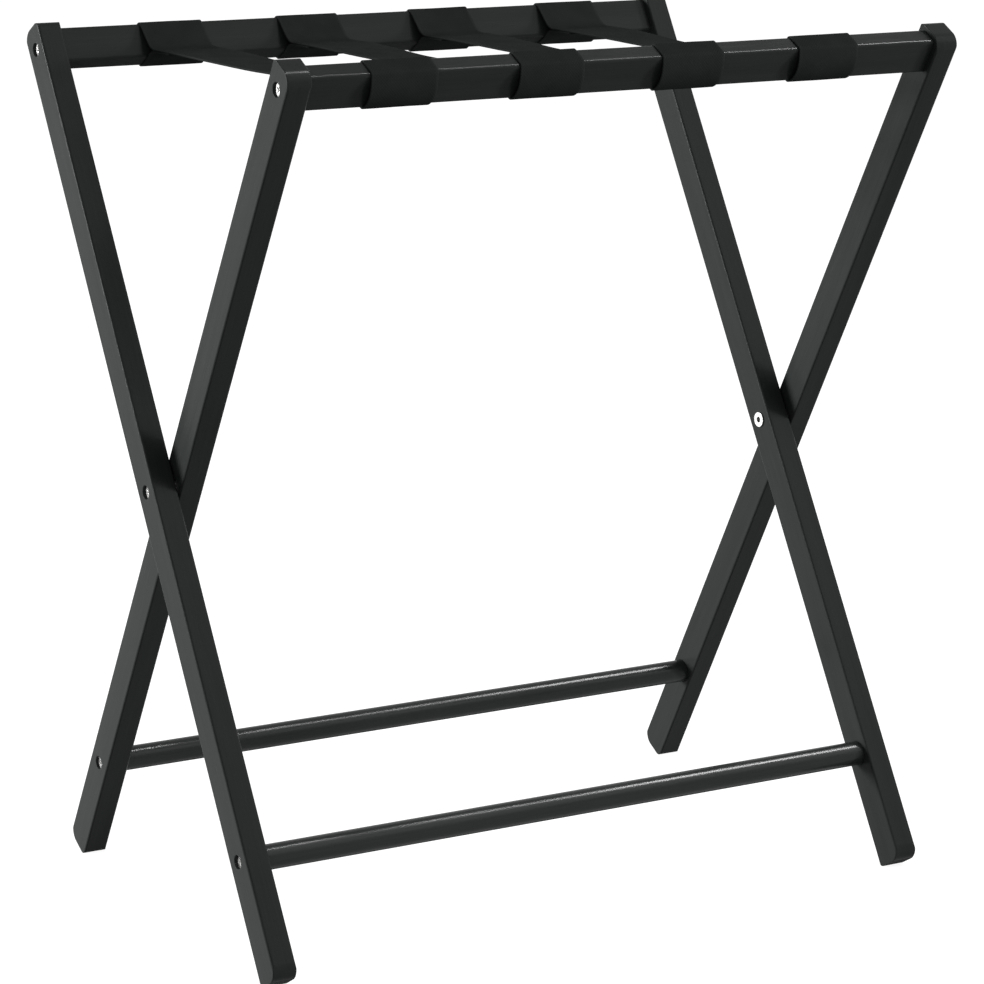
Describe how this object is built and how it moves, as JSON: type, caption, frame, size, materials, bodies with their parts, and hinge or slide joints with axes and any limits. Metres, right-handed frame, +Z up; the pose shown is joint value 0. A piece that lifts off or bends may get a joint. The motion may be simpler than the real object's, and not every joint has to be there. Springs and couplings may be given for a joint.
{
  "type": "luggage rack",
  "caption": "Folding wooden luggage rack: crossed frames on side pivots, round low stretchers and level webbing straps between the flat top rails.",
  "frame": {"origin": "on the floor, under the middle of the rack", "axes": "+Z up, X along the rails and stretchers, -Y is the front: the rail on the -Y side belongs to the frame whose legs are outer on the right"},
  "size_m": [0.4972, 0.3324, 0.5594],
  "materials": {
    "black_wood": "satin black lacquer over close-grained hardwood, faint grain along each stick",
    "pin_wood": "plain unfinished hardwood pin, hidden in the joint",
    "steel": "bright nickel plate",
    "webbing": "matte black woven polypropylene webbing"
  },
  "bodies": {
    "rear_top_frame": {"left_outer_leg": "black_wood", "right_inner_leg": "black_wood", "rear_rail": "black_wood", "front_stretcher": "black_wood", "rear_rail_screws": "steel", "front_stretcher_screws": "steel", "rear_rail_pins": "pin_wood", "left_pivot_bolt": "steel", "left_sleeve_nut": "steel", "left_pivot_washer": "steel", "strap_1_rear_loop": "webbing", "strap_2_rear_loop": "webbing", "strap_3_rear_loop": "webbing", "strap_4_rear_loop": "webbing", "strap_1_span": "webbing", "strap_2_span": "webbing", "strap_3_span": "webbing", "strap_4_span": "webbing"},
    "front_top_frame": {"right_outer_leg": "black_wood", "left_inner_leg": "black_wood", "front_rail": "black_wood", "rear_stretcher": "black_wood", "front_rail_screws": "steel", "rear_stretcher_screws": "steel", "front_rail_pins": "pin_wood", "right_pivot_bolt": "steel", "right_sleeve_nut": "steel", "right_pivot_washer": "steel", "strap_1_front_loop": "webbing", "strap_2_front_loop": "webbing", "strap_3_front_loop": "webbing", "strap_4_front_loop": "webbing"}
  },
  "joints": [
    {"name": "fold", "type": "hinge", "parent": "rear_top_frame", "child": "front_top_frame", "pos_m": [0, 0, 0.27882], "axis": [-1, 0, 0], "range_deg": [0, 55], "deforming": ["strap_1_span", "strap_2_span", "strap_3_span", "strap_4_span"]}
  ]
}
